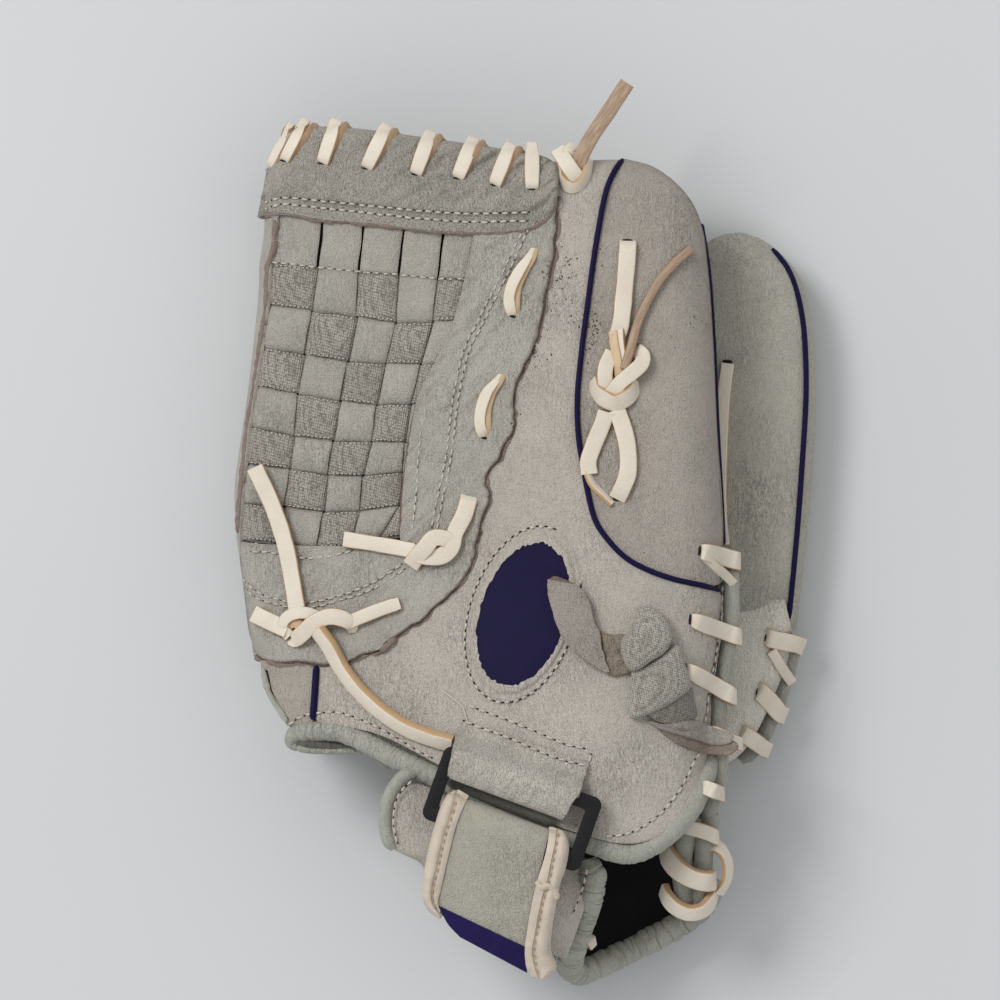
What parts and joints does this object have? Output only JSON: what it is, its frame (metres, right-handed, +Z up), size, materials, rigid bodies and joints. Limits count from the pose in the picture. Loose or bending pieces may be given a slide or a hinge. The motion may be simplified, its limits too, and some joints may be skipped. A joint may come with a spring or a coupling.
{
  "type": "softball glove",
  "caption": "Fielding glove lying closed, with finger stalls, thumb shell, folded basket web, leather lacing and a wrist strap through a plastic ring.",
  "frame": {"origin": "middle of the resting box, on the surface under the finger backs", "axes": "+Z up out of the thumb side, +Y towards the finger tips, +X towards the little finger's edge"},
  "size_m": [0.2094, 0.329, 0.0817],
  "materials": {
    "shell_leather": "matte warm grey cowhide, lightly grained",
    "palm_leather": "matte green-grey leather, grained and creased",
    "binding_leather": "soft greenish edge binding",
    "lace_leather": "smooth cream lace",
    "lace_flesh_side": "tan rough side of the lace",
    "navy_trim": "dark navy trim",
    "knit_fabric": "grey coarse knit",
    "cream_binding": "cream tape binding",
    "ring_plastic": "black moulded plastic",
    "lining_fabric": "black fabric lining"
  },
  "bodies": {
    "finger_side": {"index_stall": "palm_leather", "middle_stall": "palm_leather", "ring_stall": "palm_leather", "pinky_stall": "palm_leather", "pinky_piping": "navy_trim", "pinky_lace": "lace_leather", "finger_back_shell": "palm_leather", "finger_palm_panel": "palm_leather", "finger_heel_pad": "lining_fabric", "pinky_heel_roll": "binding_leather", "pinky_heel_lace": "lace_leather", "web_lower_leg": "palm_leather", "web_lower_binding": "palm_leather", "web_fold": "palm_leather", "wrist_pad": "shell_leather", "wrist_pad_binding": "binding_leather", "wrist_edge_binding": "binding_leather", "wrist_wall": "shell_leather", "hand_lining": "lining_fabric", "strap_under": "shell_leather", "loop_patch": "lining_fabric"},
    "thumb_side": {"strap_tab": "shell_leather", "strap_ring": "ring_plastic", "thumb_back_panel": "shell_leather", "thumb_outer_panel": "shell_leather", "thumb_palm_panel": "palm_leather", "thumb_heel_pad": "lining_fabric", "index_gusset": "shell_leather", "gusset_piping": "navy_trim", "thumb_piping": "navy_trim", "thumb_edge_piping": "navy_trim", "thumb_wrist_binding": "binding_leather", "thumb_heel_roll": "binding_leather", "thumb_heel_lace": "lace_leather", "web_weave": "palm_leather", "web_border_band": "palm_leather", "web_top_binding": "palm_leather", "web_top_roll": "palm_leather", "web_top_lace": "lace_leather", "web_thumb_lace": "lace_leather", "thumb_lace": "lace_leather", "thumb_lace_tail": "lace_flesh_side", "thumb_lace_knot": "lace_leather", "web_bottom_lace_tail": "lace_leather", "web_bottom_lace_knot": "lace_leather", "web_bottom_lace_end": "lace_leather", "web_bottom_lace_start": "lace_leather", "web_bottom_lace_lead": "lace_leather", "web_top_lace_knot": "lace_leather", "web_top_lace_tail": "lace_flesh_side", "oval_patch": "navy_trim", "loop_strap_tab": "shell_leather", "loop_strap_knit": "knit_fabric", "loop_strap_end": "shell_leather"},
    "strap_flap": {"strap_flap": "shell_leather", "strap_binding_left": "cream_binding", "strap_binding_right": "cream_binding", "strap_end_band": "navy_trim", "hook_patch": "lining_fabric"}
  },
  "joints": [
    {"name": "pocket_hinge", "type": "hinge", "parent": "finger_side", "child": "thumb_side", "pos_m": [-0.01003, -0.10778, 0.07515], "axis": [0.9426, -0.3338, 0], "range_deg": [0, 20], "deforming": ["web_fold"]},
    {"name": "strap_hinge", "type": "hinge", "parent": "finger_side", "child": "strap_flap", "pos_m": [-0.01003, -0.10778, 0.07515], "axis": [-0.9426, 0.3338, 0], "range_deg": [0, 75]}
  ]
}
